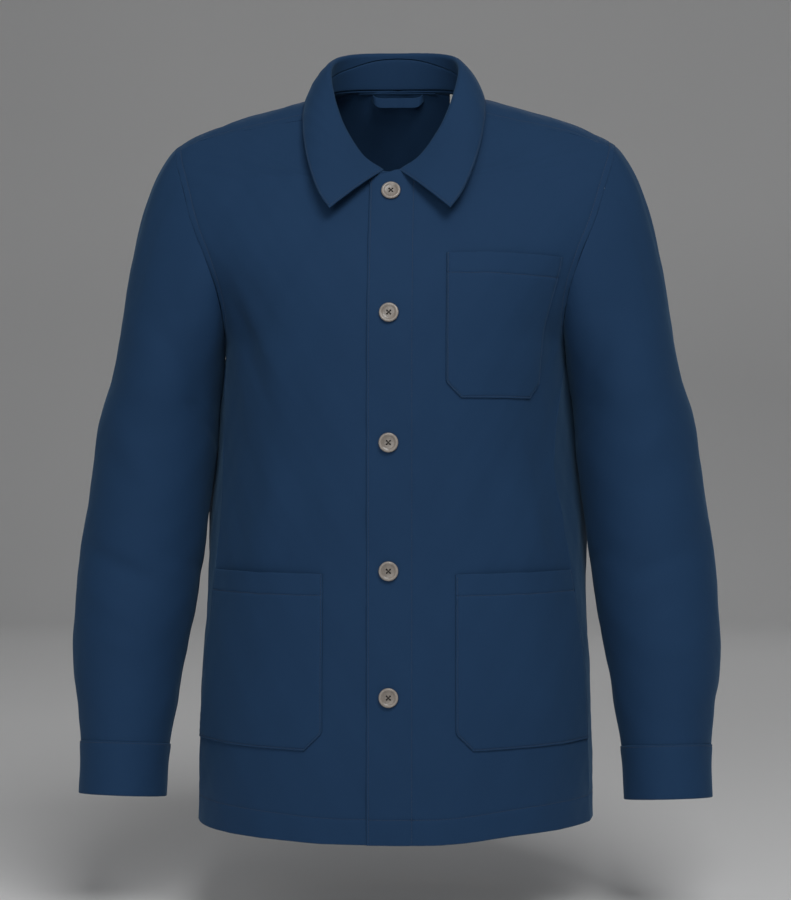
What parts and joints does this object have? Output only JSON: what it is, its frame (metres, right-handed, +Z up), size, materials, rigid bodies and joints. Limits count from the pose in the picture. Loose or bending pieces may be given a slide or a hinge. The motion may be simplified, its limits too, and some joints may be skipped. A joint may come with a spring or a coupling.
{
  "type": "buttoned cotton chore jacket",
  "caption": "Work jacket in plain drill, hollow and worn, with a turned-down collar, buttoned front, patch pockets, set-in sleeves and cuff bands.",
  "frame": {"origin": "base of the wearer's neck, midway between the shoulders", "axes": "+Z up, the front faces -Y, the wearer's left is +X"},
  "size_m": [0.6438, 0.2951, 0.7742],
  "materials": {
    "blue_drill": "matte woven drill",
    "taupe_horn": "semi-gloss horn-like",
    "white_tape": "matte"
  },
  "bodies": {
    "root": {"front_left": "blue_drill", "front_right": "blue_drill", "back": "blue_drill", "sleeve_left": "blue_drill", "sleeve_right": "blue_drill", "cuff_left": "blue_drill", "cuff_right": "blue_drill", "collar_stand": "blue_drill", "collar_fall": "blue_drill", "chest_pocket": "blue_drill", "pocket_left": "blue_drill", "pocket_right": "blue_drill", "neck_tape": "blue_drill", "hanger_loop": "blue_drill", "neck_label": "white_tape", "button_1": "taupe_horn", "button_2": "taupe_horn", "button_3": "taupe_horn", "button_4": "taupe_horn", "button_5": "taupe_horn"}
  },
  "joints": []
}
